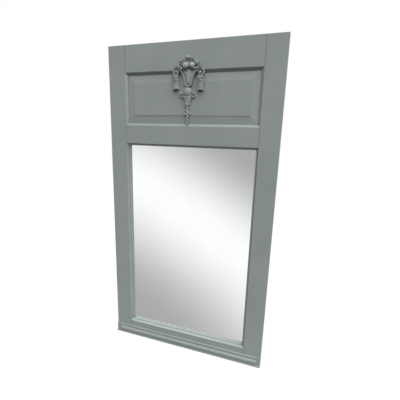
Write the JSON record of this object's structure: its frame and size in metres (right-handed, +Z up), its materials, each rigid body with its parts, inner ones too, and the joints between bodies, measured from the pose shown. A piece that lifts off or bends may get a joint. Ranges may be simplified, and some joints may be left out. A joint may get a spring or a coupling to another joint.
{
  "type": "trumeau mirror",
  "caption": "Tall painted wooden frame with a fielded panel and carved trophy over a mirror, mitred mouldings, a stepped base moulding and keyhole plates at the back",
  "frame": {"origin": "middle of the foot, on the surface that it stands on, midway between the front of the trophy and the back of the frame", "axes": "X to the right of someone who looks at the mirror, Y to the back, Z up"},
  "size_m": [0.8, 0.056, 1.48],
  "materials": {
    "frame_paint": "matt grey-green paint with faint brush marks along the grain",
    "panel_paint": "matt grey-green paint with faint brush marks along the grain",
    "moulding_paint": "matt grey-green paint, a little rubbed on the edges",
    "carving_paint": "matt grey-green paint over carving, rubbed on the high spots",
    "mirror": "silvered glass, polished",
    "bare_board": "bare board, darkened with age",
    "peg_wood": "bare hardwood end grain",
    "plate_steel": "zinc plated",
    "screw_steel": "zinc plated"
  },
  "bodies": {
    "root": {"arm_leaf_left": "carving_paint", "arm_leaf_right": "carving_paint", "back_board": "bare_board", "base_block_left": "moulding_paint", "base_block_right": "moulding_paint", "base_lip": "moulding_paint", "base_moulding": "moulding_paint", "bell_drop": "carving_paint", "board_pins": "screw_steel", "boss": "carving_paint", "bottom_rail": "frame_paint", "crest_spray": "carving_paint", "curl_left": "carving_paint", "curl_right": "carving_paint", "fruit_left": "carving_paint", "fruit_right": "carving_paint", "hanger_plate_left": "plate_steel", "hanger_plate_right": "plate_steel", "hanger_screws": "screw_steel", "husk_garland": "carving_paint", "knot_left": "carving_paint", "knot_right": "carving_paint", "left_stile": "frame_paint", "middle_rail": "frame_paint", "mirror_glass": "mirror", "mirror_moulding_bottom": "moulding_paint", "mirror_moulding_left": "moulding_paint", "mirror_moulding_right": "moulding_paint", "mirror_moulding_top": "moulding_paint", "panel_moulding_bottom": "moulding_paint", "panel_moulding_left": "moulding_paint", "panel_moulding_right": "moulding_paint", "panel_moulding_top": "moulding_paint", "raised_panel": "panel_paint", "right_stile": "frame_paint", "scroll_eyes": "carving_paint", "scroll_strap": "carving_paint", "shield_plate": "carving_paint", "tassel_left": "carving_paint", "tassel_right": "carving_paint", "tenon_pegs": "peg_wood", "top_rail": "frame_paint"}
  },
  "joints": []
}
